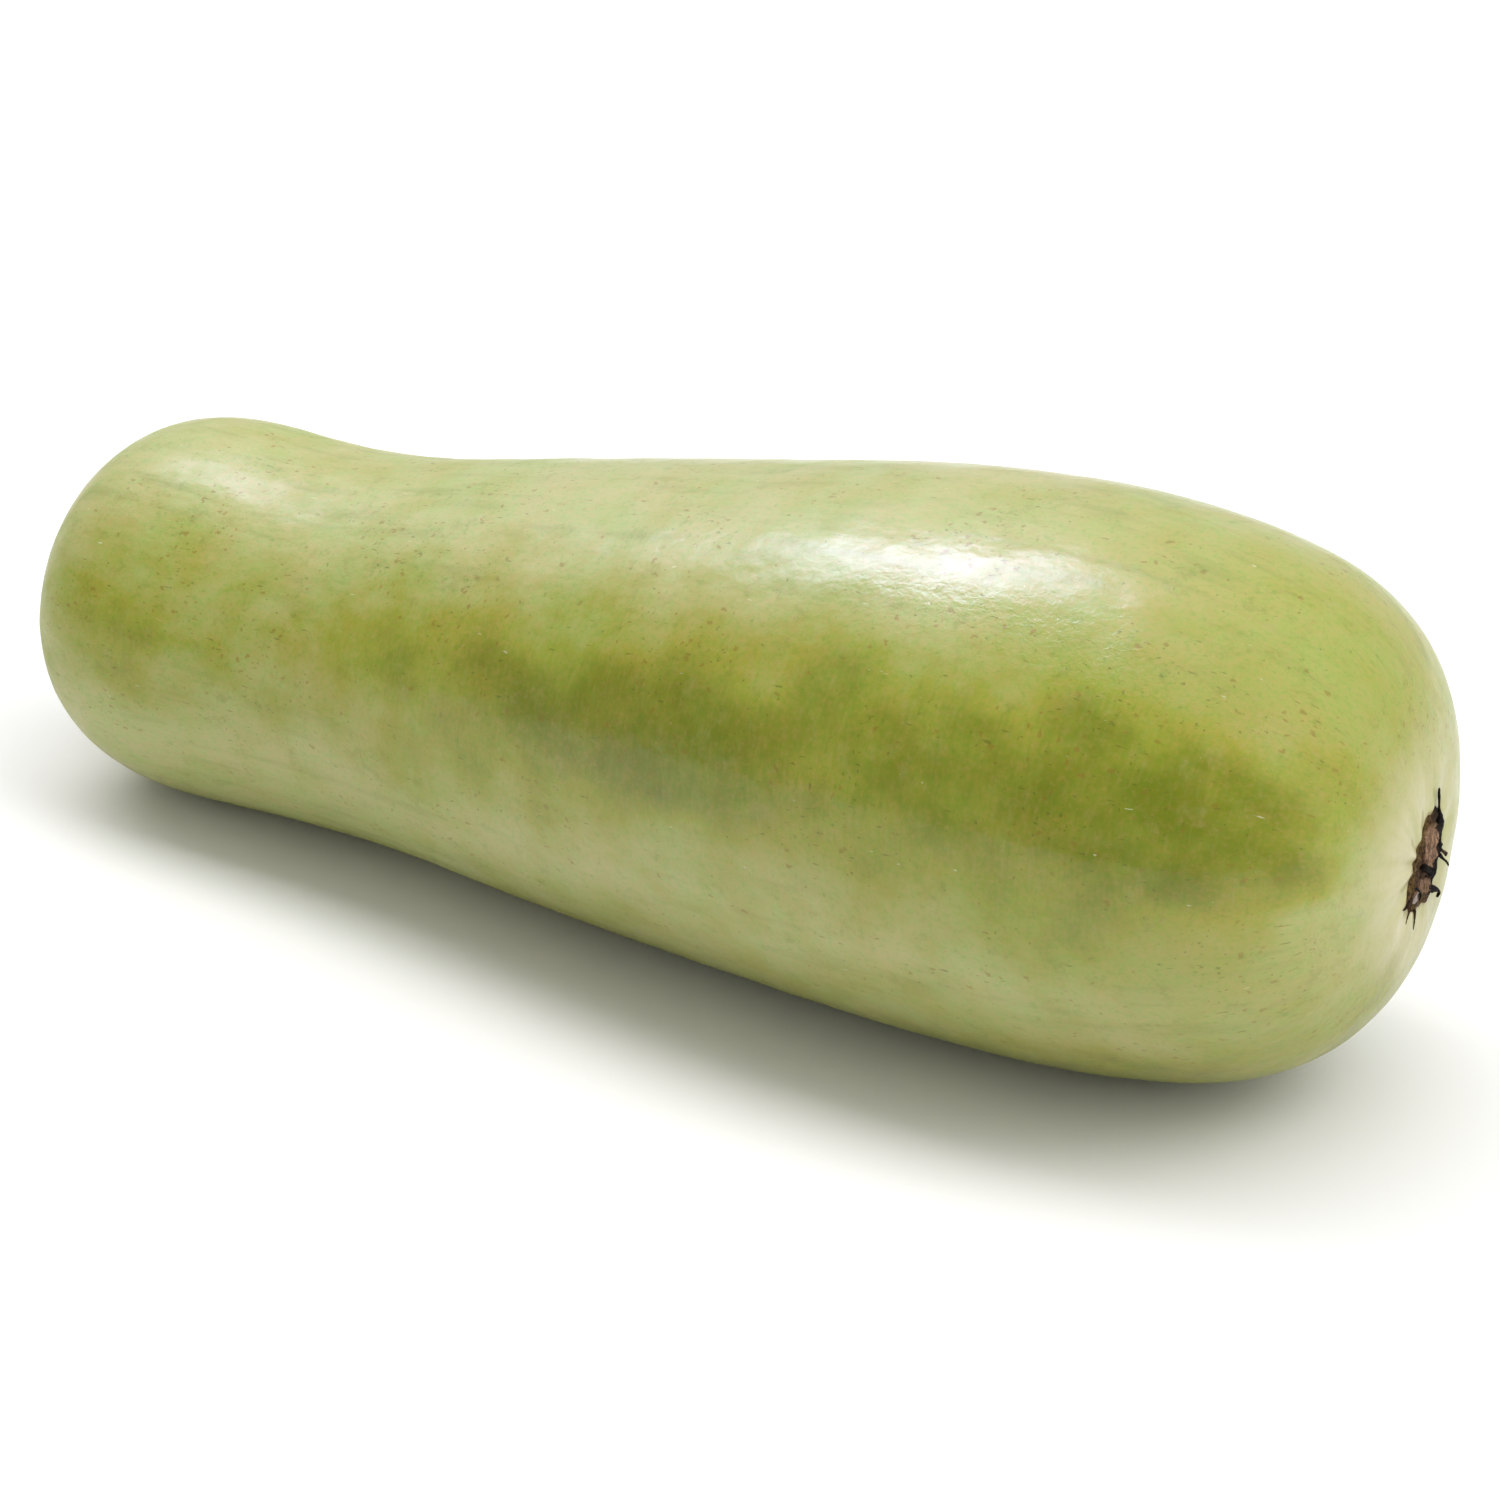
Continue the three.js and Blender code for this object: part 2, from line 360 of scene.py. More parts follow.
def unrolled(along, angle):
    """The skin's place in mm on a straight cylinder whose ends close, as the fruit's do."""
    radius = UNROLLED_RADIUS * min(mean_radius(along) / CLOSING_RADIUS, 1)
    return Vector((along, radius * math.cos(angle), radius * math.sin(angle)))


def skin_waves(place):
    return sum(wander(place, size, height, offset) for height, size, offset in SKIN_WAVES)


def grow_fruit():
    bm = bmesh.new()
    bmesh.ops.create_uvsphere(bm, u_segments=FRUIT_SEGMENTS, v_segments=FRUIT_RINGS, radius=1)
    skin_map = bm.verts.layers.float_vector.new("skin_map")
    names = ("green", "yellow", "cream", "gloss", "wrinkled", "from_scar")
    green, yellow, cream, gloss, wrinkled, from_scar = [bm.verts.layers.float.new(name) for name in names]
    for vert in bm.verts:
        share = round(1 - math.acos(clamp(vert.co.z, -1, 1)) / math.pi, 5)
        along = station_at(share)
        angle = math.atan2(vert.co.y, vert.co.x)
        place = unrolled(along, angle)
        mean = mean_radius(along)
        vert[skin_map] = place * MM
        vert[green] = green_and_shade_share(along, angle, place)
        vert[yellow] = yellow_share(along, angle, place)
        vert[cream] = cream_share(along, angle, mean)
        vert[gloss] = smooth(along + wander(place, 30, 25), *GLOSS_STATIONS)
        vert[wrinkled] = clamp(cloud_sum(WRINKLED_CLOUDS, along, math.degrees(angle) % 360), 0, 1)
        vert[from_scar] = (mean - scar_edge(angle) if along > LENGTH / 2 else LENGTH) * MM
        vert.co = skin_point(along, angle, raised=skin_waves(place) * min(mean / SMOOTH_POLE, 1))
    return bm


fruit_mesh = grow_fruit()
print("fruit:", len(fruit_mesh.verts), "vertices")

# %% [markdown]
# ## Setting the fruit down
# The grown fruit is moved to where its solid lies, and sinks by a hair. Where the skin would pass through
# the ground it stops at the ground, which leaves the flat spots that it rests on. Then the mesh becomes an
# object that stands in for the plain solid.

# %% Set the fruit down
SETTLE = 0.3


def box_middle(low, high):
    return (low + high) / 2


grown_low = Vector(min(v.co[i] for v in fruit_mesh.verts) for i in range(3))
grown_high = Vector(max(v.co[i] for v in fruit_mesh.verts) for i in range(3))
into_frame = box_middle(*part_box("gourd_fruit")) / MM - box_middle(grown_low, grown_high)
into_frame.z = -SETTLE
for vert in fruit_mesh.verts:
    vert.co = (vert.co + into_frame) * MM
    vert.co.z = max(vert.co.z, 0)
print("fruit moved by", [round(x, 2) for x in into_frame], "mm")


def new_object(name, data):
    made = bpy.data.objects.new(name, data)
    bpy.context.scene.collection.objects.link(made)
    return made


def new_piece(bm, name):
    mesh = bpy.data.meshes.new(name)
    bm.to_mesh(mesh)
    bm.free()
    return new_object(name, mesh)


def finished_piece(bm, name):
    """Turns a bmesh into a smooth object that rides on the only body."""
    bmesh.ops.remove_doubles(bm, verts=bm.verts, dist=1e-7)
    piece = new_piece(bm, name)
    piece.data.shade_smooth()
    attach(piece, "root")
    return piece


fruit = finished_piece(fruit_mesh, "fruit_skin")
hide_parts("gourd_fruit")

# %% [markdown]
# ## Helpers for materials
# A material is a tree of nodes. These helpers add one node at a time and return the socket that it puts
# out, so that a pattern reads like a formula.

# %% Node helpers
NUMBER = "NodeSocketFloat"
VECTOR = "NodeSocketVector"


def plug(tree, value, socket):
    """Links a socket, or sets a plain value."""
    if isinstance(value, bpy.types.NodeSocket):
        tree.links.new(value, socket)
    else:
        socket.default_value = value


def maths(tree, operation, first, second=0.5):
    made = tree.nodes.new("ShaderNodeMath")
    made.operation = operation
    plug(tree, first, made.inputs[0])
    plug(tree, second, made.inputs[1])
    return made.outputs[0]


def times(tree, first, second):
    return maths(tree, "MULTIPLY", first, second)


def remap(tree, value, low, high, to_low=0, to_high=1):
    """A soft step from one range to another."""
    made = tree.nodes.new("ShaderNodeMapRange")
    made.interpolation_type = "SMOOTHSTEP"
    for socket, setting in zip(made.inputs, (value, low, high, to_low, to_high)):
        plug(tree, setting, socket)
    return made.outputs[0]


def mix_colours(tree, share, first, second, way="MIX"):
    """The first colour, with a share of the second mixed in or multiplied on."""
    made = tree.nodes.new("ShaderNodeMix")
    made.data_type = "RGBA"
    made.blend_type = way
    plug(tree, share, made.inputs["Factor"])
    plug(tree, first, made.inputs[6])
    plug(tree, second, made.inputs[7])
    return made.outputs[2]


def blended(tree, value, stops):
    """A row of colours, each at its own value."""
    made = tree.nodes.new("ShaderNodeValToRGB")
    plug(tree, value, made.inputs["Fac"])
    row = made.color_ramp.elements
    while len(row) < len(stops):
        row.new(0.5)
    for element, (place, colour) in zip(row, stops):
        element.position = place
        element.color = (*colour, 1)
    return made.outputs["Color"]


def vector_maths(tree, operation, first, second=(0, 0, 0)):
    made = tree.nodes.new("ShaderNodeVectorMath")
    made.operation = operation
    plug(tree, first, made.inputs[0])
    plug(tree, second, made.inputs[1])
    return made.outputs["Value" if operation == "DOT_PRODUCT" else "Vector"]


def stretched(tree, vector, scale):
    """The coordinates multiplied along each axis, in pattern cells per metre."""
    return vector_maths(tree, "MULTIPLY", vector, scale)


def scaled(tree, vector, cells):
    """The coordinates multiplied alike along every axis."""
    return stretched(tree, vector, (cells, cells, cells))


def tinted(tree, colour, pattern, low, high, most, tint):
    """Mixes in a tint as a pattern goes from low to high, up to a greatest share."""
    return mix_colours(tree, remap(tree, pattern, low, high, 0, most), colour, tint)


def noise_of(tree, vector, detail=2, roughness=0.5, distortion=0):
    made = tree.nodes.new("ShaderNodeTexNoise")
    plug(tree, vector, made.inputs["Vector"])
    settings = {"Scale": 1, "Detail": detail, "Roughness": roughness, "Distortion": distortion}
    for name, setting in settings.items():
        made.inputs[name].default_value = setting
    return made.outputs["Fac"]


def attribute(tree, name, kind="Vector"):
    made = tree.nodes.new("ShaderNodeAttribute")
    made.attribute_name = name
    return made.outputs[kind]


def bump(tree, height, depth, strength=1, below=None):
    made = tree.nodes.new("ShaderNodeBump")
    made.inputs["Distance"].default_value = depth
    made.inputs["Strength"].default_value = strength
    plug(tree, height, made.inputs["Height"])
    if below is not None:
        plug(tree, below, made.inputs["Normal"])
    return made.outputs["Normal"]


def new_group(name, output, **inputs):
    """A node group with one mask as its output. Returns it with the sockets at its start and its end."""
    group = bpy.data.node_groups.new(name, "ShaderNodeTree")
    for socket, kind in inputs.items():
        group.interface.new_socket(socket, in_out="INPUT", socket_type=kind)
    group.interface.new_socket(output, in_out="OUTPUT", socket_type=NUMBER)
    return group, group.nodes.new("NodeGroupInput").outputs, group.nodes.new("NodeGroupOutput").inputs


def grouped(tree, group, **settings):
    """Places a node group with its own values, and returns its mask."""
    made = tree.nodes.new("ShaderNodeGroup")
    made.node_tree = group
    for name, value in settings.items():
        plug(tree, value, made.inputs[name])
    return made.outputs[0]


def new_material(name, **settings):
    """A material with its surface shader, which takes plain settings."""
    material = bpy.data.materials.new(name)
    material.use_nodes = True
    shader = material.node_tree.nodes["Principled BSDF"]
    for setting, value in settings.items():
        shader.inputs[setting.replace("_", " ")].default_value = value
    return material, material.node_tree, shader


print("helpers ready")

# %% [markdown]
# ## Specks, shared by every kind of mark
# Cork spots, dashes and scratches are small, sparse and random. A Voronoi pattern scatters cells, each with
# one spot at its heart, bent by noise so that no two spots are alike, and keeps a share of the cells only.
# It is a node group, so each kind of mark uses it with its own size, share and stretch.

# %% Speck group
BEND_SCALE = 1.7
BEND = 0.9
SMALLEST_SPOT = 0.4


def speck_group():
    group, start, end = new_group("sparse specks", "Specks", Vector=VECTOR, Size=NUMBER, Share=NUMBER)
    cells = group.nodes.new("ShaderNodeTexVoronoi")
    cells.inputs["Scale"].default_value = 1
    bent = group.nodes.new("ShaderNodeTexNoise")
    bent.inputs["Scale"].default_value = BEND_SCALE
    bent.inputs["Detail"].default_value = 1
    group.links.new(start["Vector"], bent.inputs["Vector"])
    uneven = vector_maths(group, "ADD", start["Vector"], scaled(group, bent.outputs["Color"], BEND))
    group.links.new(uneven, cells.inputs["Vector"])
    apart = group.nodes.new("ShaderNodeSeparateColor")
    group.links.new(cells.outputs["Color"], apart.inputs[0])
    kept = maths(group, "LESS_THAN", apart.outputs[0], start["Share"])
    reach = times(group, start["Size"], maths(group, "ADD", apart.outputs[1], SMALLEST_SPOT))
    inside = remap(group, cells.outputs["Distance"], reach, times(group, reach, 0.5), 0, 1)
    group.links.new(times(group, kept, inside), end["Specks"])
    return group


SPECKS = speck_group()
print("speck group sockets:", [s.name for s in SPECKS.interface.items_tree])

# %% [markdown]
# ## Colour of the skin
# The clouds are mixed first: pale to green and then yellow. No green on a fruit is pure, so noise of many
# sizes gives it a beige or a leafy cast without making it lighter or darker, and fine flecks and grain do
# the same again at the size of a pore.

# %% Skin colours and mottles
RIPENESS = [(0, (0.375, 0.404, 0.135)), (0.5, (0.285, 0.306, 0.03)), (1, (0.155, 0.18, 0.004))]
YELLOW_SKIN = (0.275, 0.3, 0.022, 1)
CREAM_SKIN = (0.5, 0.46, 0.25, 1)
BEIGE_MOTTLE = (0.37, 0.33, 0.13, 1)
LEAF_MOTTLE = (0.13, 0.18, 0.012, 1)
BEIGE_CAST = (1.09, 0.97, 1.05, 1)
LEAF_CAST = (0.925, 1.015, 0.95, 1)
RUST = (0.22, 0.135, 0.014, 1)
DARK_DASH = (0.085, 0.1, 0.006, 1)
SCRATCH_WHITE = (0.7, 0.7, 0.5, 1)
STAIN_BROWN = (0.19, 0.12, 0.035, 1)


def cast_upon(tree, share, colour, leafy):
    """Turns a colour to a beige or a leafy cast, by a share and a mask."""
    cast = mix_colours(tree, leafy, BEIGE_CAST, LEAF_CAST)
    return mix_colours(tree, share, colour, cast, way="MULTIPLY")


def between_clouds(tree, skin):
    """The large soft colours, mottled where they meet."""
    mottle = noise_of(tree, scaled(tree, skin, 75), detail=5, roughness=0.62)
    swing = remap(tree, mottle, 0.2, 0.8, -0.24, 0.24)
    green = maths(tree, "ADD", attribute(tree, "green", "Fac"), swing)
    colour = blended(tree, green, RIPENESS)
    patchy = remap(tree, mottle, 0.75, 0.3, 0.2, 0.8)
    yellow = times(tree, attribute(tree, "yellow", "Fac"), patchy)
    colour = mix_colours(tree, yellow, colour, YELLOW_SKIN)
    hues = noise_of(tree, scaled(tree, skin, 44), detail=6, roughness=0.85)
    colour = cast_upon(tree, 1, colour, remap(tree, hues, 0.34, 0.66))
    flecks = noise_of(tree, stretched(tree, skin, (230, 190, 190)), detail=4, roughness=0.75)
    colour = tinted(tree, colour, flecks, 0.5, 0.75, 0.25, BEIGE_MOTTLE)
    colour = tinted(tree, colour, flecks, 0.48, 0.25, 0.35, LEAF_MOTTLE)
    grain = noise_of(tree, scaled(tree, skin, 1000), detail=2, roughness=0.7)
    colour = tinted(tree, colour, grain, 0.5, 0.7, 0.12, BEIGE_MOTTLE)
    colour = tinted(tree, colour, grain, 0.48, 0.3, 0.14, LEAF_MOTTLE)
    return cast_upon(tree, 0.8, colour, remap(tree, grain, 0.66, 0.34))


print("ripeness:", len(RIPENESS), "greens, from pale to ripe")

# %% [markdown]
# ## Lines and marks of the skin
# A real skin also carries fine lines that run round the girth, longer streaks along the top, rusty dots,
# dark grains and short slanting dashes in loose groups, and a few pale scratches. Slow noise says where the
# groups are, and the speck group draws the marks in them.

# %% Lines and marks


def girth_lines(tree, skin, colour):
    """Fine lines round the green flanks, and longer ones along the pale top."""
    green = attribute(tree, "green", "Fac")
    fine = noise_of(tree, stretched(tree, skin, (1500, 260, 260)), detail=2)
    for high, most, tint in ((0.72, 0.18, LEAF_MOTTLE), (0.3, 0.08, BEIGE_MOTTLE)):
        lines = times(tree, remap(tree, fine, 0.5, high, 0, most), remap(tree, green, 0.2, 0.8))
        colour = mix_colours(tree, lines, colour, tint)
    long = noise_of(tree, stretched(tree, skin, (45, 260, 260)), detail=3)
    streaks = times(tree, remap(tree, long, 0.48, 0.8, 0, 0.3), remap(tree, green, 0.45, 0.1))
    return mix_colours(tree, streaks, colour, LEAF_MOTTLE)


def marks(tree, skin, colour):
    """Dots, dashes and scratches in loose groups."""
    groups = noise_of(tree, stretched(tree, skin, (38, 42, 42)), detail=1)
    crowded = remap(tree, groups, 0.47, 0.66, 0.1, 0.75)
    slant = tree.nodes.new("ShaderNodeMapping")
    slant.inputs["Rotation"].default_value = (0, 0, math.radians(28))
    slant.inputs["Scale"].default_value = (330, 1300, 1300)
    tree.links.new(skin, slant.inputs["Vector"])
    kinds = [
        # where, size, share, how strong, colour
        (scaled(tree, skin, 430), 0.25, crowded, 0.55, RUST),
        (scaled(tree, skin, 800), 0.22, times(tree, crowded, 0.7), 0.5, DARK_DASH),
        (slant.outputs["Vector"], 0.24, times(tree, crowded, 0.5), 0.55, DARK_DASH),
        (stretched(tree, skin, (260, 1200, 800)), 0.14, 0.04, 0.45, SCRATCH_WHITE),
    ]
    for where, size, share, strength, tint in kinds:
        found = grouped(tree, SPECKS, Vector=where, Size=size, Share=share)
        colour = mix_colours(tree, times(tree, found, strength), colour, tint)
    return colour


print("kinds of marks: dots, grains, dashes and scratches")

# %% [markdown]
# ## The blossom end
# The skin turns cream where the flower sat, with faint rays that run out from the pole, because the skin
# was gathered there. Brown from the scar creeps a millimetre or two into it. How far each place lies from
# the scar's edge was kept as an attribute, so the stain follows the edge.

# %% Blossom end


def blossom_end(tree, skin, colour):
    """The cream end with its faint rays, and the brown stain that creeps out of the scar."""
    outward = vector_maths(tree, "NORMALIZE", stretched(tree, skin, (0, 1, 1)))
    rays = noise_of(tree, stretched(tree, outward, (0, 6, 6)), detail=2)
    blotches = noise_of(tree, scaled(tree, skin, 110), detail=2)
    in_rays, in_blotches = remap(tree, rays, 0.3, 0.65, 0.75, 1), remap(tree, blotches, 0.3, 0.65, 0.75, 1.1)
    uneven = times(tree, in_rays, in_blotches)
    cream = times(tree, attribute(tree, "cream", "Fac"), uneven)
    colour = mix_colours(tree, cream, colour, CREAM_SKIN)
    creep = noise_of(tree, scaled(tree, skin, 300), detail=3)
    reach = remap(tree, creep, 0.35, 0.7, 0.0003, 0.002)
    stained = remap(tree, attribute(tree, "from_scar", "Fac"), reach, -0.0006, 0, 0.85)
    return mix_colours(tree, stained, colour, STAIN_BROWN)


print("stain creeps up to 2 mm out of the scar")

# %% [markdown]
# ## Gloss and relief of the skin
# A gourd has a thin natural wax over a duller skin. The shader's coat is the wax and its base layer is the
# skin. The wax is thick on the belly and thin on the neck, and fine leathery wrinkles break up its highlight.

# %% Skin material


def skin_material():
    material, tree, shader = new_material("gourd skin", IOR=1.45, Specular_IOR_Level=0.35, Coat_IOR=1.5)
    skin = attribute(tree, "skin_map")
    colour = marks(tree, skin, girth_lines(tree, skin, between_clouds(tree, skin)))
    tree.links.new(blossom_end(tree, skin, colour), shader.inputs["Base Color"])
    worn = noise_of(tree, scaled(tree, skin, 90), detail=3, roughness=0.6)
    waxed = attribute(tree, "gloss", "Fac")
    tree.links.new(remap(tree, worn, 0.3, 0.7, 0.42, 0.56), shader.inputs["Roughness"])
    coat = times(tree, remap(tree, waxed, 0, 1, 0.17, 0.5), remap(tree, worn, 0.7, 0.3, 0.8, 1))
    tree.links.new(coat, shader.inputs["Coat Weight"])
    shader.inputs["Coat Roughness"].default_value = 0.1
    leather = noise_of(tree, stretched(tree, skin, (760, 860, 860)), detail=3, roughness=0.55, distortion=0.6)
    deep = remap(tree, attribute(tree, "wrinkled", "Fac"), 0, 1, 0.2, 1)
    ripples = noise_of(tree, stretched(tree, skin, (120, 160, 160)), detail=2)
    relief = bump(tree, times(tree, leather, deep), 0.0003, 0.6)
    relief = bump(tree, ripples, 0.0005, 0.5, relief)
    tree.links.new(relief, shader.inputs["Normal"])
    tree.links.new(relief, shader.inputs["Coat Normal"])
    return material


fruit.data.materials.append(skin_material())
print("fruit finish:", fruit.data.materials[0].name)

# %% [markdown]
# ## Laying a piece over a pole
# The scar and the stub both sit on a pole of the fruit. A place on them is given by its distance from the
# pole, its angle and its height over the skin, so that they follow the dimple under them.

# %% Over a pole


@functools.lru_cache(maxsize=None)
def station_at_radius(radius, at_blossom):
    """The station near a pole where the fruit has a given mean radius, found by halving."""
    near, far = (LENGTH, LENGTH / 2) if at_blossom else (0, LENGTH / 4)
    for _ in range(30):
        middle = (near + far) / 2
        near, far = (near, middle) if mean_radius(middle) > radius else (middle, far)
    return near


def over_pole(radius, angle, height, at_blossom):
    """A point over a pole, in metres in the frame."""
    outward = core_axes(LENGTH if at_blossom else 0)[0] * (1 if at_blossom else -1)
    skin = skin_point(station_at_radius(radius, at_blossom), angle, mean=radius)
    return (skin + outward * height + into_frame) * MM


def over_blossom(side, up, height):
    return over_pole(round(math.hypot(side, up), 4), math.atan2(up, side), height, True)


print("pole of the blossom end:", [round(x, 4) for x in over_pole(0, 0, 0, True)])

# %% [markdown]
# ## Spinning a profile
# The scar and the stub are both round pieces before they are made ragged. A profile is drawn as a chain of
# edges from the middle of one face to the middle of the other, and spun into a closed piece. The spin leaves
# many vertices on the axis, which are merged into one.

# %% Spin a profile


def spun(bm, profile, steps):
    """Spins a chain of (radius, height) points round the z axis."""
    chain = [bm.verts.new((radius, 0, height)) for radius, height in profile]
    for near, far in zip(chain, chain[1:]):
        bm.edges.new((near, far))
    bmesh.ops.spin(
        bm, geom=chain + list(bm.edges), cent=(0, 0, 0), axis=(0, 0, 1), angle=math.tau,
        steps=steps, use_merge=True,
    )
    bmesh.ops.remove_doubles(bm, verts=bm.verts, dist=1e-5)


print("spin ready")

# %% [markdown]
# ## The blossom scar
# Dried petals and cork make a scab that is cracked and flaked. Its height over the skin is a floor with a
# raised rim on its black side, less cracks of noise, with two flakes and a small loose chip on top. It thins
# out towards its edge. All of these are heights in millimetres at a place across the pole.

# %% Heights of the scar
SCAR_FLOOR = 0.5
SCAR_RIM = {"height": 0.3, "share": 0.85, "width": 0.1}
CRACKS = {"depth": 0.5, "size": 0.9}
GRIT = {"height": 0.16, "size": 0.45}
BLACK_SIDE = (0, 4)
FLAKE_EDGE = 0.8
FLAKES = [
    # from and to, across the pole in mm, half-width, height, how bleached
    ((1.7, 4.4), (2.3, 0.2), 2.8, 0.6, 1),
    ((-1.4, -3.9), (1.8, -5), 1.5, 0.4, 0.6),
    ((-4.2, -4.7), (-4, -6.1), 0.75, 0.9, 1.8),
]


def to_segment(place, start, end):
    """The distance of a place from a line between two ends."""
    start, end = Vector(start), Vector(end)
    along = clamp((place - start).dot(end - start) / (end - start).length_squared, 0, 1)
    return (place - start.lerp(end, along)).length


def flake_cover(place):
    """How high the flakes stand at a place, and how bleached they are."""
    height = bleached = 0
    jagged = 0.35 * noise.noise(Vector((*place, 3)) / 0.9)
    for start, end, half_width, flake_height, flake_bleached in FLAKES:
        away = to_segment(place, start, end) + jagged
        cover = 1 - smooth(away, FLAKE_EDGE * half_width, half_width)
        height = max(height, cover * flake_height)
        bleached = max(bleached, cover * flake_bleached)
    return height, bleached


def scar_height(share, place):
    """The height at a place, which lies at a share of the way from the pole to the edge."""
    black = smooth(place.x, *BLACK_SIDE)
    rim = SCAR_RIM["height"] * bell(share - SCAR_RIM["share"], SCAR_RIM["width"]) * black
    cracks = CRACKS["depth"] * abs(noise.noise(Vector((place.x, place.y / 2.5, 0)) / CRACKS["size"]))
    grit = GRIT["height"] * noise.noise(Vector((*place, 0)) / GRIT["size"])
    thinning = 1 - 0.8 * smooth(share, 0.6 + 0.3 * black, 1)
    return (SCAR_FLOOR + rim - cracks + grit + flake_cover(place)[0]) * thinning


print("height at the pole:", round(scar_height(0, Vector((0, 0))), 2), "mm")

# %% [markdown]
# ## The disc of the scar
# A short profile, from the middle out to the edge and back underneath, is spun into a disc. Each vertex is
# then laid over the pole at its height. Attributes tell the material where the scab is bleached, where it is
# black and where it thins out to a mottled margin. A spin returns only its last step, so each vertex is
# marked once it has been placed, and the unmarked ones are new.

# %% Scar disc
SCAR_SUNK = 0.4
SCAR_RINGS = 32
SCAR_STEPS = 150


def not_placed(bm, placed):
    """The vertices that an operator has just added, each marked as placed from now on."""
    fresh = [vert for vert in bm.verts if not vert[placed]]
    for vert in fresh:
        vert[placed] = 1
    return fresh


def scar_disc(bm, placed, bleached, char, margin):
    """The disc, whose vertices start with their share of the way to the edge as their radius."""
    face = [(i / SCAR_RINGS, 1) for i in range(SCAR_RINGS + 1)]
    spun(bm, [*face, (1, 0), (0.6, 0), (0, 0)], SCAR_STEPS)
    for vert in not_placed(bm, placed):
        share = math.hypot(vert.co.x, vert.co.y)
        angle = math.atan2(vert.co.y, vert.co.x)
        bites = noise.noise(Vector((6 * math.cos(angle), 6 * math.sin(angle), 2)))
        radius = share * scar_edge(angle) * (1 + 0.05 * smooth(share, 0.7, 1) * bites)
        place = Vector((radius * math.cos(angle), radius * math.sin(angle)))
        over = vert.co.z > 0.5
        vert[bleached] = flake_cover(place)[1] if over else 0
        vert[char] = smooth(share, 0.62, 0.8) * smooth(place.x, 1, 4.5) if over else 0
        vert[margin] = smooth(share, 0.45, 0.8) * (1 - smooth(place.x, *BLACK_SIDE)) if over else 1
        vert.co = over_pole(round(radius, 4), angle, scar_height(share, place) if over else -SCAR_SUNK, True)


print("scar disc:", SCAR_RINGS, "rings of", SCAR_STEPS, "vertices")

# %% [markdown]
# ## Dried threads of the flower
# The style and the veins of the petals stay as black, twisted threads. Each has its own path across the
# pole, from its root through a bend to its tip, and its own height and radius along the way.

# %% Paths of the threads
THREADS = [
    # points across the pole in mm, height at each, radius at each, how black
    (((0.2, 5.6), (1.8, 6.1), (3.6, 5.8), (4.8, 6.5), (5, 8), (4.7, 9.6), (4.4, 11.3), (4.1, 12.9)),
     (0.6, 0.9, 1.0, 0.9, 0.6, 0.5, 0.5, 0.6),
     (0.12, 0.22, 0.36, 0.34, 0.25, 0.22, 0.28, 0.24), 1),
    (((6.6, -0.9), (7.4, -1.9), (8.1, -2.7), (8.9, -3.5), (9.9, -4.6)),
     (0.5, 0.9, 1.3, 1.5, 1.4), (0.4, 0.32, 0.22, 0.24, 0.19), 1),
    (((6.6, 0.2), (7.8, -0.9), (8.8, -1.7), (9.5, -2.5)),
     (0.4, 0.8, 1.1, 1.0), (0.2, 0.28, 0.34, 0.2), 0.3),
    (((1.2, -5.2), (3.2, -6.2), (5.0, -7.2), (6.2, -8.0), (6.5, -8.6), (5.8, -9.1)),
     (-0.1, 0.5, 1.0, 1.2, 1.2, 1.1), (0.7, 0.8, 0.5, 0.28, 0.32, 0.24), 1),
    (((-1.9, 0.2), (-0.8, -0.7), (0.6, -1.6), (1.9, -2.5), (2.9, -3.1)),
     (1.0, 1.2, 1.15, 1.3, 1.1), (0.45, 0.78, 0.5, 0.86, 0.6), 1),
    (((-4.9, -3.0), (-3.3, -3.9), (-2.3, -5.3), (-2.5, -6.6)),
     (0.7, 0.9, 0.9, 0.7), (0.12, 0.24, 0.22, 0.1), 1),
    (((-4.9, -5.0), (-6.0, -5.5), (-7.4, -6.0), (-8.7, -6.1)),
     (0.1, 0.25, 0.2, 0.1), (0.5, 0.55, 0.3, 0.1), 0.6),
    (((-3.2, -8.0), (-2.7, -9.2), (-2.2, -10.4), (-1.9, -11.5), (-1.7, -12.6)),
     (0.3, 0.2, 0.15, 0.1, 0.05), (0.3, 0.2, 0.14, 0.1, 0.05), 0.2),
    (((-4.8, -7.2), (-5.1, -8.2), (-5.5, -9.2), (-5.8, -10.2)),
     (0.3, 0.2, 0.1, 0.05), (0.3, 0.16, 0.1, 0.05), 0.1),
]
print("threads:", len(THREADS))

# %% [markdown]
# ## Laying the threads
# A thread starts as a rod that is one unit long, cut into many rings. How far up the rod a vertex sits is
# its share of the path, so the rod can be bent along the path ring by ring, thinned and made knotty.

# %% Threads and the finished scar
THREAD_SIDES = 9
THREAD_CUTS = 27
AHEAD = 0.02
KNOTS = 0.3


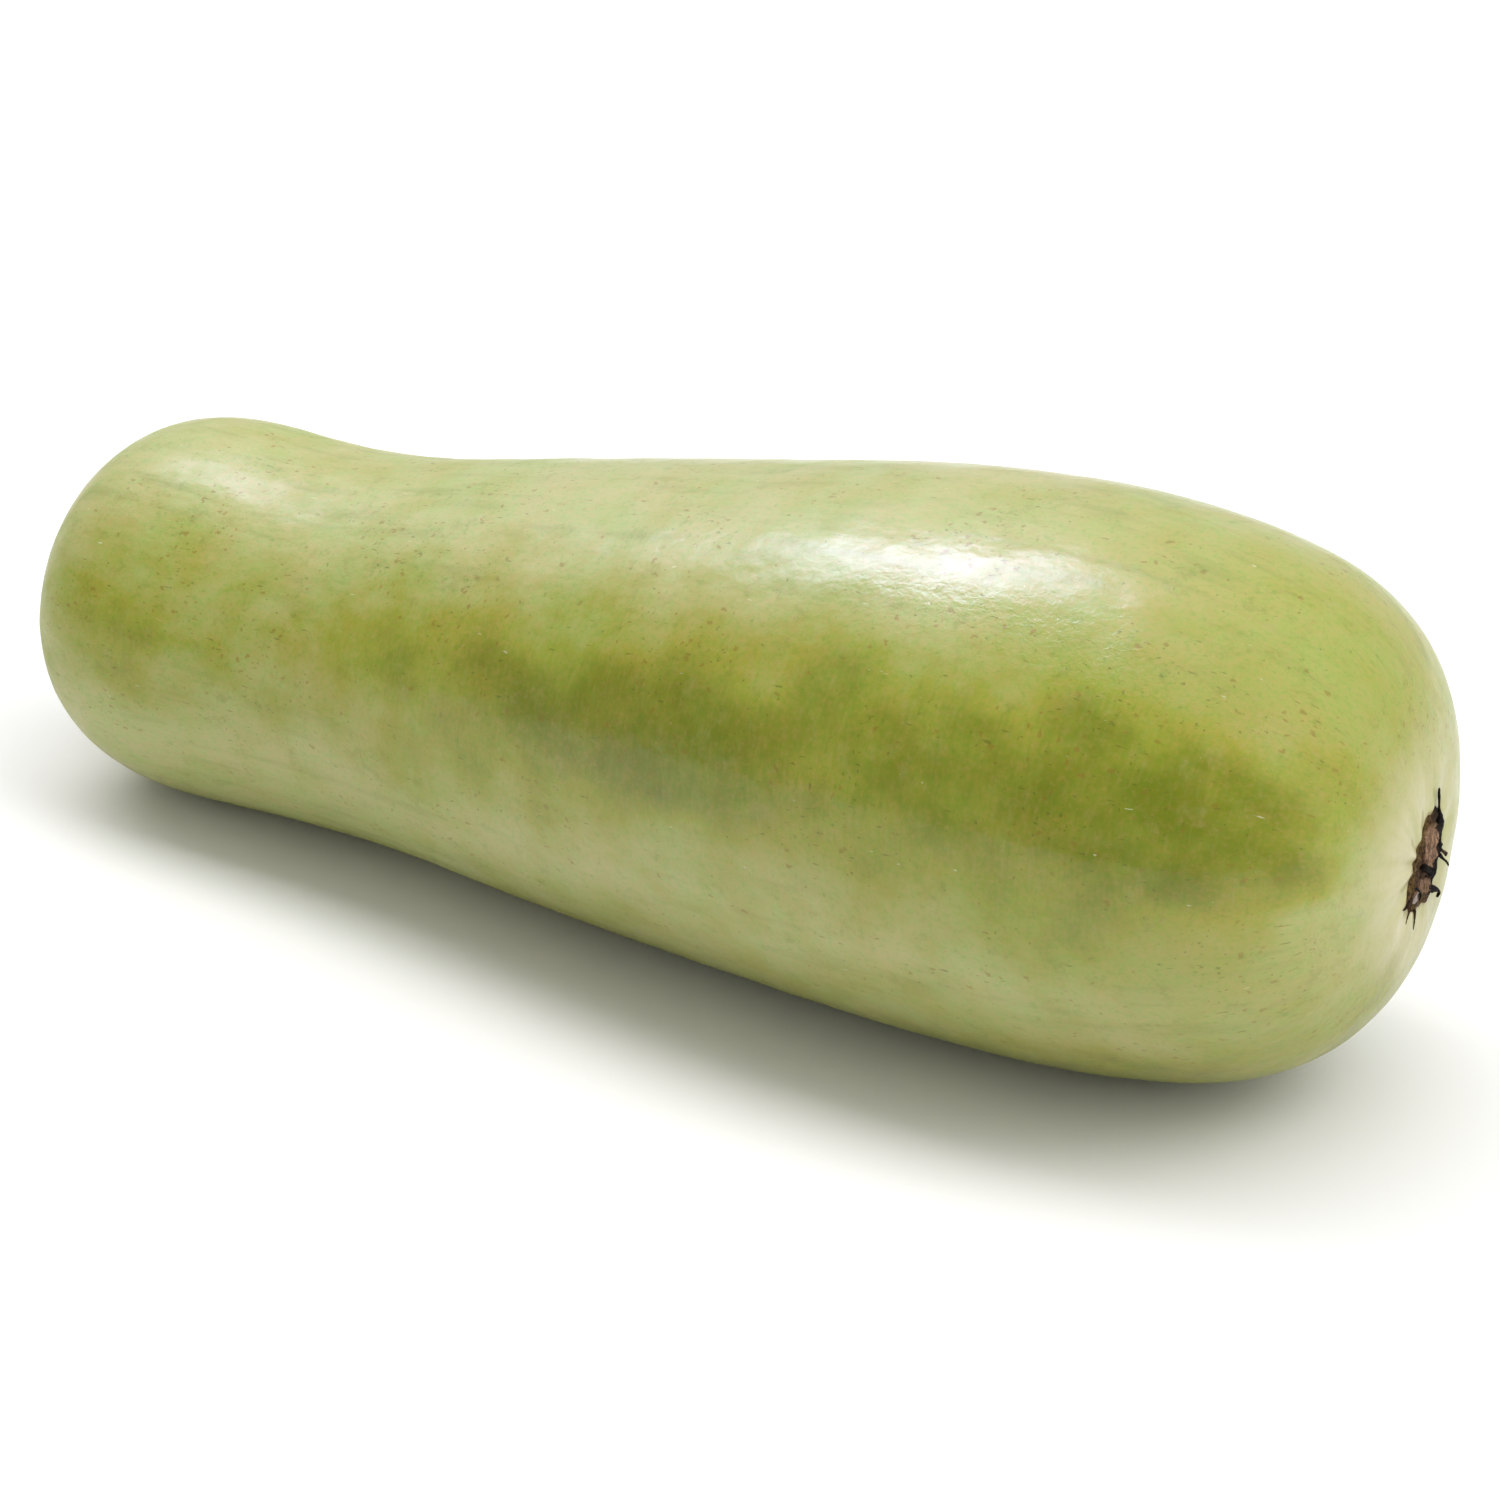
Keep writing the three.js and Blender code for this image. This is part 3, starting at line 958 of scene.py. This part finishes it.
def flower_thread(bm, thread, placed, char):
    rod = bmesh.ops.create_cone(
        bm, cap_ends=True, segments=THREAD_SIDES, radius1=1, radius2=1, depth=1,
        matrix=Matrix.Translation((0, 0, 0.5)),
    )
    edges = dict.fromkeys(edge for vert in rod["verts"] for edge in vert.link_edges)
    long_edges = [edge for edge in edges if abs(edge.verts[0].co.z - edge.verts[1].co.z) > 0.5]
    bmesh.ops.subdivide_edges(bm, edges=long_edges, cuts=THREAD_CUTS, use_grid_fill=True)
    path, heights, radii, black = thread
    sideways, upways = zip(*path)
    for vert in not_placed(bm, placed):
        share = vert.co.z
        radius = through(radii, share)
        radius *= 1 + KNOTS * noise.noise(Vector((share * 9, radii[0] * 20, vert.co.x)))
        radius *= 1 - 0.7 * smooth(share, 0.96, 1)
        radius *= 0.3 + 0.7 * smooth(share, 0, 0.07)
        side, up = through(sideways, share), through(upways, share)
        before, after = max(share - AHEAD, 0), min(share + AHEAD, 1)
        ahead_side = through(sideways, after) - through(sideways, before)
        ahead_up = through(upways, after) - through(upways, before)
        ahead = Vector((ahead_side, ahead_up)).normalized()
        across = vert.co.x * radius
        height = through(heights, share) + vert.co.y * radius
        vert[char] = black
        vert.co = over_blossom(side - ahead.y * across, up + ahead.x * across, height)


def grow_scar():
    bm = bmesh.new()
    bleached = bm.verts.layers.float.new("bleached")
    char = bm.verts.layers.float.new("char")
    margin = bm.verts.layers.float.new("margin")
    placed = bm.verts.layers.int.new("placed")
    scar_disc(bm, placed, bleached, char, margin)
    for thread in THREADS:
        flower_thread(bm, thread, placed, char)
    bm.verts.layers.int.remove(placed)
    bmesh.ops.recalc_face_normals(bm, faces=bm.faces)
    return bm


scar = finished_piece(grow_scar(), "blossom_scar_cork")
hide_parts("blossom_scar")
print("scar:", len(scar.data.vertices), "vertices")

# %% [markdown]
# ## Dry fibres, shared by the scar and the stub
# Both pieces are dead plant tissue, so both show fibres: long thin streaks, lighter and darker. The group
# takes coordinates that are already stretched along the fibres and puts out one mask.

# %% Fibre group


def fibre_group():
    group, start, end = new_group("dry fibres", "Fibres", Vector=VECTOR, Contrast=NUMBER)
    streaks = noise_of(group, start["Vector"], detail=4, roughness=0.65, distortion=0.3)
    apart = times(group, maths(group, "SUBTRACT", streaks, 0.5), start["Contrast"])
    group.links.new(remap(group, maths(group, "ADD", apart, 0.5), 0, 1), end["Fibres"])
    return group


FIBRES = fibre_group()
print("fibre group sockets:", [s.name for s in FIBRES.interface.items_tree])

# %% [markdown]
# ## Cork of the scar
# The scab is dark, fibrous cork. Its flakes are bleached to a pinkish brown and its loose chip to grey, its
# black side is charred, and its thin margin is mottled with ochre. The attributes of the mesh say where, and
# crumbs of noise keep the borders between them ragged.

# %% Scar material
CORK_DARK = (0.04, 0.021, 0.012, 1)
CORK_BROWN = (0.13, 0.075, 0.042, 1)
CORK_PINKISH = (0.37, 0.225, 0.14, 1)
CHIP_GREY = (0.5, 0.42, 0.4, 1)
MARGIN_OCHRE = (0.16, 0.095, 0.03, 1)
MARGIN_DARK = (0.045, 0.028, 0.01, 1)
CHAR_BLACK = (0.006, 0.005, 0.004, 1)


def cork_material():
    material, tree, shader = new_material("scar cork", Roughness=0.8, Specular_IOR_Level=0.15)
    place = tree.nodes.new("ShaderNodeTexCoord").outputs["Object"]
    fibres = grouped(tree, FIBRES, Vector=stretched(tree, place, (1900, 1900, 700)), Contrast=4.5)
    crumbs = noise_of(tree, scaled(tree, place, 1300), detail=4, roughness=0.7)
    colour = mix_colours(tree, fibres, CORK_DARK, CORK_BROWN)
    mottled = mix_colours(tree, remap(tree, crumbs, 0.43, 0.57, 0, 1), MARGIN_DARK, MARGIN_OCHRE)
    colour = mix_colours(tree, attribute(tree, "margin", "Fac"), colour, mottled)
    bleached = attribute(tree, "bleached", "Fac")
    uneven = times(tree, remap(tree, bleached, 0, 1), remap(tree, fibres, 0, 0.8, 0.35, 1))
    colour = mix_colours(tree, uneven, colour, CORK_PINKISH)
    colour = mix_colours(tree, remap(tree, bleached, 1.1, 1.6, 0, 0.9), colour, CHIP_GREY)
    burnt = times(tree, attribute(tree, "char", "Fac"), remap(tree, crumbs, 0.5, 0.8, 1, 0.6))
    tree.links.new(mix_colours(tree, burnt, colour, CHAR_BLACK), shader.inputs["Base Color"])
    tree.links.new(remap(tree, fibres, 0, 1, 0.6, 0.9), shader.inputs["Roughness"])
    crust = bump(tree, crumbs, 0.0006, 0.8)
    tree.links.new(bump(tree, fibres, 0.0003, 0.8, crust), shader.inputs["Normal"])
    return material


scar.data.materials.append(cork_material())
print("scar finish:", scar.data.materials[0].name)

# %% [markdown]
# ## The stem stub
# A gourd is cut from its vine with a short length of stem, which has five corners and dries to a woody grey
# green. A profile of its wall and its cut end is spun round, and the five corners, the flare at its foot and
# the ragged cut are made by moving the vertices.

# %% Stub
STUB_LENGTH = 8.5
STUB_RADIUS = 5
STUB_ANGLES = 5
STUB_FLARE = 0.3
STUB_RINGS = 26
STUB_STEPS = 100
STUB_RAISED = 0.3
CUT_SHARES = (0.965, 0.9, 0.8, 0.68, 0.55, 0.42, 0.3, 0.2, 0.1, 0)
BUNDLES = 10


def stub_profile():
    """Points of the profile: distance from the middle and rise, from the foot to the heart of the cut."""
    wall = [(1, i / STUB_RINGS) for i in range(STUB_RINGS)]
    cut = [(share, 1) for share in CUT_SHARES]
    return [(0, -0.06), (1, -0.06), *wall, *cut]


def cut_depth(share, angle):
    """How far the cut end has shrunk: a soft pith, a ring of bundles and a raised bark."""
    pith = 0.9 * (1 - smooth(share, 0.12, 0.4))
    bundles = 0.16 * bell(share - 0.62, 0.12) * (1 + math.cos(BUNDLES * angle))
    ragged = 0.15 * noise.noise(Vector((3 * share * math.cos(angle), 3 * share * math.sin(angle), 1)))
    return pith - bundles + ragged


def grow_stub():
    bm = bmesh.new()
    cut_end = bm.verts.layers.float.new("cut_end")
    stem_map = bm.verts.layers.float_vector.new("stem_map")
    spun(bm, stub_profile(), STUB_STEPS)
    for vert in bm.verts:
        share = math.hypot(vert.co.x, vert.co.y)
        angle = math.atan2(vert.co.y, vert.co.x)
        rise = vert.co.z
        foot = clamp(rise, 0, 1)
        flare = 1 + STUB_FLARE * (1 - foot) ** 3 + 0.05 * smooth(foot, 0.8, 1)
        corner = 1 + 0.08 * math.cos(STUB_ANGLES * angle) - 0.025 * math.cos(2 * STUB_ANGLES * angle)
        grooves = 1 + 0.02 * noise.noise(Vector((5 * math.cos(angle), 5 * math.sin(angle), foot)))
        radius = share * STUB_RADIUS * flare * corner * grooves
        height = STUB_LENGTH * rise - (cut_depth(share, angle) if rise == 1 and share < 1 else 0)
        vert[cut_end] = 1 if rise == 1 and share < 0.97 else 0
        round_stem = Vector((math.cos(angle), math.sin(angle), 0)) * STUB_RADIUS * share * MM
        vert[stem_map] = round_stem + Vector((0, 0, rise * STUB_LENGTH * MM))
        vert.co = over_pole(round(radius, 4), angle, height + (STUB_RAISED if rise > 0.5 else 0), False)
    bmesh.ops.recalc_face_normals(bm, faces=bm.faces)
    return bm


stub = finished_piece(grow_stub(), "stem_stub_wood")
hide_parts("stem_stub")
print("stub:", len(stub.data.vertices), "vertices")

# %% [markdown]
# ## Wood of the stub
# The bark is green between woody fibres that run along the stem, and the cut end shows straw-coloured pith
# with brown fibres seen end on. The mesh keeps a straight map of the stem for them.

# %% Stub material
STALK_GREEN = (0.22, 0.23, 0.09, 1)
STALK_WOOD = (0.36, 0.3, 0.17, 1)
CUT_STRAW = (0.5, 0.42, 0.25, 1)
CUT_BROWN = (0.2, 0.13, 0.06, 1)


def stalk_material():
    material, tree, shader = new_material("stem stalk", Roughness=0.7)
    stem = attribute(tree, "stem_map")
    fibres = grouped(tree, FIBRES, Vector=stretched(tree, stem, (900, 900, 90)), Contrast=2.5)
    bark = mix_colours(tree, fibres, STALK_GREEN, STALK_WOOD)
    grain = grouped(tree, FIBRES, Vector=scaled(tree, stem, 1400), Contrast=3)
    cut = mix_colours(tree, grain, CUT_BROWN, CUT_STRAW)
    colour = mix_colours(tree, attribute(tree, "cut_end", "Fac"), bark, cut)
    tree.links.new(colour, shader.inputs["Base Color"])
    tree.links.new(remap(tree, fibres, 0, 1, 0.6, 0.8), shader.inputs["Roughness"])
    tree.links.new(bump(tree, fibres, 0.0002, 0.6), shader.inputs["Normal"])
    return material


stub.data.materials.append(stalk_material())
print("stub finish:", stub.data.materials[0].name)

# %% [markdown]
# ## Floor
# The gourd lies on a plain pale floor, a single large face of dull paper, which is no part of the gourd.

# %% Floor
FLOOR_HALF = 4.0
PAPER_WHITE = (0.9, 0.9, 0.9, 1)


def make_floor():
    bm = bmesh.new()
    bmesh.ops.create_grid(bm, x_segments=1, y_segments=1, size=FLOOR_HALF)
    floor = new_piece(bm, "floor")
    paper = new_material("white paper", Roughness=0.9, Base_Color=PAPER_WHITE, Specular_IOR_Level=0)[0]
    floor.data.materials.append(paper)


make_floor()
print("floor:", 2 * FLOOR_HALF, "m wide")

# %% [markdown]
# ## Soft boxes
# A long strip overhead and a box on the right give most of the light and the soft shadow. They are kept out
# of reflections, or they would leave hard-edged patches in the wax. A faded box on the left gives a mild
# sheen, and a small cool umbrella, seen in reflections only, makes the long highlight.

# %% Soft boxes
SOFT_BOXES = {
    # place in metres, the way that its first side runs, its two sides in metres, watts
    "overhead strip": ((0, 0, 1.5), (1, 0, 0), (4.0, 0.72), 26.5),
    "right box": ((1.9, 0.2, 1.5), (0, 1, 0), (2.0, 2.4), 20.5),
    "wide left box": ((-0.825, 0.495, 1.155), (0.8, 0.2, 0.45), (2.2, 2.2), 13),
    "umbrella": ((-0.735, 0.435, 1.235), (0.8, 0.1, 0.5), (1.2, 0.66), 47),
}
UMBRELLA_TINT = (0.86, 0.84, 1.25)
FADED = ("wide left box", "umbrella")
NOT_REFLECTED = ("overhead strip", "right box")
ONLY_REFLECTED = ("umbrella",)


def fade_edges(lamp):
    """Lets the brightness of a box fall off from its middle to its edges."""
    lamp.use_nodes = True
    tree = lamp.node_tree
    where = tree.nodes.new("ShaderNodeSeparateXYZ")
    tree.links.new(tree.nodes.new("ShaderNodeNewGeometry").outputs["Parametric"], where.inputs[0])
    strength = 1
    for place in where.outputs[:2]:
        off = maths(tree, "ABSOLUTE", maths(tree, "SUBTRACT", place, 0.5))
        strength = times(tree, remap(tree, off, 0.5, 0), strength)
    tree.links.new(strength, tree.nodes["Emission"].inputs["Strength"])


def make_soft_box(name, place, long_way, size, watts):
    """A rectangle of light that faces the middle of the floor."""
    lamp = bpy.data.lights.new(name, "AREA")
    lamp.shape = "RECTANGLE"
    lamp.size, lamp.size_y = size
    lamp.energy = watts
    lamp.color = UMBRELLA_TINT if name in ONLY_REFLECTED else (1, 1, 1)
    if name in FADED:
        fade_edges(lamp)
    box = new_object(name, lamp)
    box.visible_glossy = name not in NOT_REFLECTED
    box.visible_diffuse = name not in ONLY_REFLECTED
    facing = Vector(place).normalized()
    across = facing.cross(Vector(long_way)).normalized()
    turn = Matrix((across.cross(facing), across, facing)).transposed().to_4x4()
    box.matrix_world = Matrix.Translation(place) @ turn


for name, setting in SOFT_BOXES.items():
    make_soft_box(name, *setting)
print("lights:", list(SOFT_BOXES))

# %% [markdown]
# ## Surroundings
# White walls all round would lay a grey veil over the wax of the near side. So what the wax reflects is
# bright behind the gourd and dark in front of it, while the light that falls on the gourd stays even and
# the background stays white.

# %% Surroundings
SURROUNDINGS = 0.55
BEHIND_REFLECTED = 0.9
TO_THE_BACK = (0, 0.95, 0.3)


def light_surroundings():
    world = bpy.data.worlds.new("surroundings")
    bpy.context.scene.world = world
    world.use_nodes = True
    tree = world.node_tree
    sky = tree.nodes["Background"]
    sky.inputs["Color"].default_value = (1, 1, 1, 1)
    way = tree.nodes.new("ShaderNodeTexCoord").outputs["Generated"]
    behind = vector_maths(tree, "DOT_PRODUCT", way, TO_THE_BACK)
    reflected = remap(tree, behind, -0.1, 0.3, 0, BEHIND_REFLECTED)
    ray = tree.nodes.new("ShaderNodeLightPath").outputs
    glow = remap(tree, ray["Is Glossy Ray"], 0, 1, SURROUNDINGS, reflected)
    tree.links.new(remap(tree, ray["Is Camera Ray"], 0, 1, glow, 1), sky.inputs["Strength"])


light_surroundings()
bpy.context.scene.view_settings.view_transform = "Standard"
print("view transform:", bpy.context.scene.view_settings.view_transform)

# %% [markdown]
# ## Camera
# The camera looks down on the gourd through a long lens, from far enough away that the fruit is hardly
# foreshortened, with the blossom end nearer.

# %% Camera
CAMERA_AZIMUTH = math.radians(33)
CAMERA_ELEVATION = math.radians(25)
CAMERA_DISTANCE = 1150
CAMERA_AIM = (6.5, -11.4, 50)
LENS = 146.26
SENSOR_WIDTH = 36


def make_camera():
    flat = math.cos(CAMERA_ELEVATION)
    sine, cosine = math.sin(CAMERA_AZIMUTH), math.cos(CAMERA_AZIMUTH)
    back = Vector((sine * flat, -cosine * flat, math.sin(CAMERA_ELEVATION)))
    right = Vector((cosine, sine, 0))
    up = back.cross(right)
    aside, above, core_height = CAMERA_AIM
    spot = Vector((0, 0, core_height)) + right * aside + up * above + back * CAMERA_DISTANCE
    data = bpy.data.cameras.new("camera")
    data.lens = LENS
    data.sensor_width = SENSOR_WIDTH
    camera = new_object("camera", data)
    turn = Matrix((right, up, back)).transposed().to_4x4()
    camera.matrix_world = Matrix.Translation((spot + into_frame) * MM) @ turn
    bpy.context.scene.camera = camera
    return camera


print("camera at", [round(x, 3) for x in make_camera().location])
